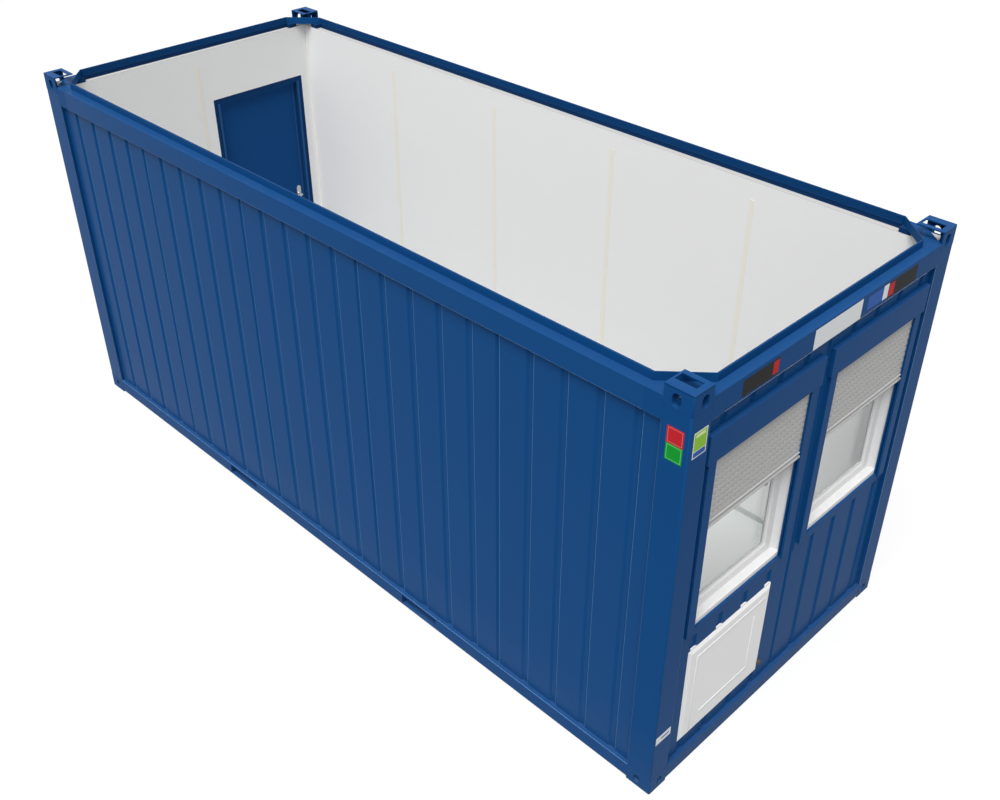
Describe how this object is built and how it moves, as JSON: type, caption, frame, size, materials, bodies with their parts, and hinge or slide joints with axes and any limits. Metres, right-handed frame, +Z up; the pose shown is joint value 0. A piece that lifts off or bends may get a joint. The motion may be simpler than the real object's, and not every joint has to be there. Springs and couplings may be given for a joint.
{
  "type": "shipping container cabin",
  "caption": "Steel-framed container cabin with open top, ribbed walls, a hinged door at one end, shuttered windows at the other, fork pockets and corner castings.",
  "frame": {"origin": "centre of the footprint, level with the casting feet", "axes": "+X towards the window end, +Z up, -Y towards the front long side"},
  "size_m": [6.058, 2.438, 2.8],
  "materials": {
    "painted_blue": "satin paint",
    "galvanised_sheet": "galvanised",
    "floor_covering": "vinyl",
    "white_frame": "smooth",
    "window_glass": "clear",
    "grey_shutter": "matt",
    "lever_metal": "satin",
    "cover_white": "satin paint"
  },
  "bodies": {
    "cabin": {"floor_rail_front": "painted_blue", "floor_rail_back": "painted_blue", "floor_rail_window_end": "painted_blue", "floor_rail_door_end": "painted_blue", "fork_tunnel_left": "painted_blue", "fork_tunnel_right": "painted_blue", "corner_casting_front_window": "painted_blue", "corner_casting_front_door": "painted_blue", "corner_casting_back_window": "painted_blue", "corner_casting_back_door": "painted_blue", "corner_post_front_window": "painted_blue", "corner_post_front_door": "painted_blue", "corner_post_back_window": "painted_blue", "corner_post_back_door": "painted_blue", "roof_corner_front_window": "painted_blue", "roof_corner_front_door": "painted_blue", "roof_corner_back_window": "painted_blue", "roof_corner_back_door": "painted_blue", "roof_rail_front": "painted_blue", "roof_rail_back": "painted_blue", "roof_rail_window_end": "painted_blue", "roof_rail_door_end": "painted_blue", "wall_front": "painted_blue", "wall_back": "painted_blue", "wall_under_windows": "painted_blue", "wall_over_windows": "painted_blue", "wall_pier_left": "painted_blue", "wall_pier_middle": "painted_blue", "wall_pier_right": "painted_blue", "wall_beside_door": "painted_blue", "wall_door_side": "painted_blue", "wall_over_door": "painted_blue", "shutter_box_left": "painted_blue", "shutter_box_right": "painted_blue", "door_frame": "painted_blue", "underfloor_sheet": "galvanised_sheet", "floor_deck": "floor_covering", "window_frame_left": "white_frame", "window_frame_right": "white_frame", "window_glass_left": "window_glass", "window_glass_right": "window_glass", "shutter_curtain_left": "grey_shutter", "shutter_curtain_right": "grey_shutter", "service_cover": "cover_white"},
    "door": {"door_leaf": "painted_blue"},
    "door_lever": {"door_lever": "lever_metal"}
  },
  "joints": [
    {"name": "door_hinge", "type": "hinge", "parent": "cabin", "child": "door", "pos_m": [-3.0185, 0.153, 0], "axis": [0, 0, 1], "range_deg": [0, 110]},
    {"name": "lever_pivot", "type": "hinge", "parent": "door", "child": "door_lever", "pos_m": [-2.985, 0.902, 1.167], "axis": [1, 0, 0], "range_deg": [0, 40], "stiffness_Nm_per_rad": 1.5, "springref_deg": -22.92}
  ]
}
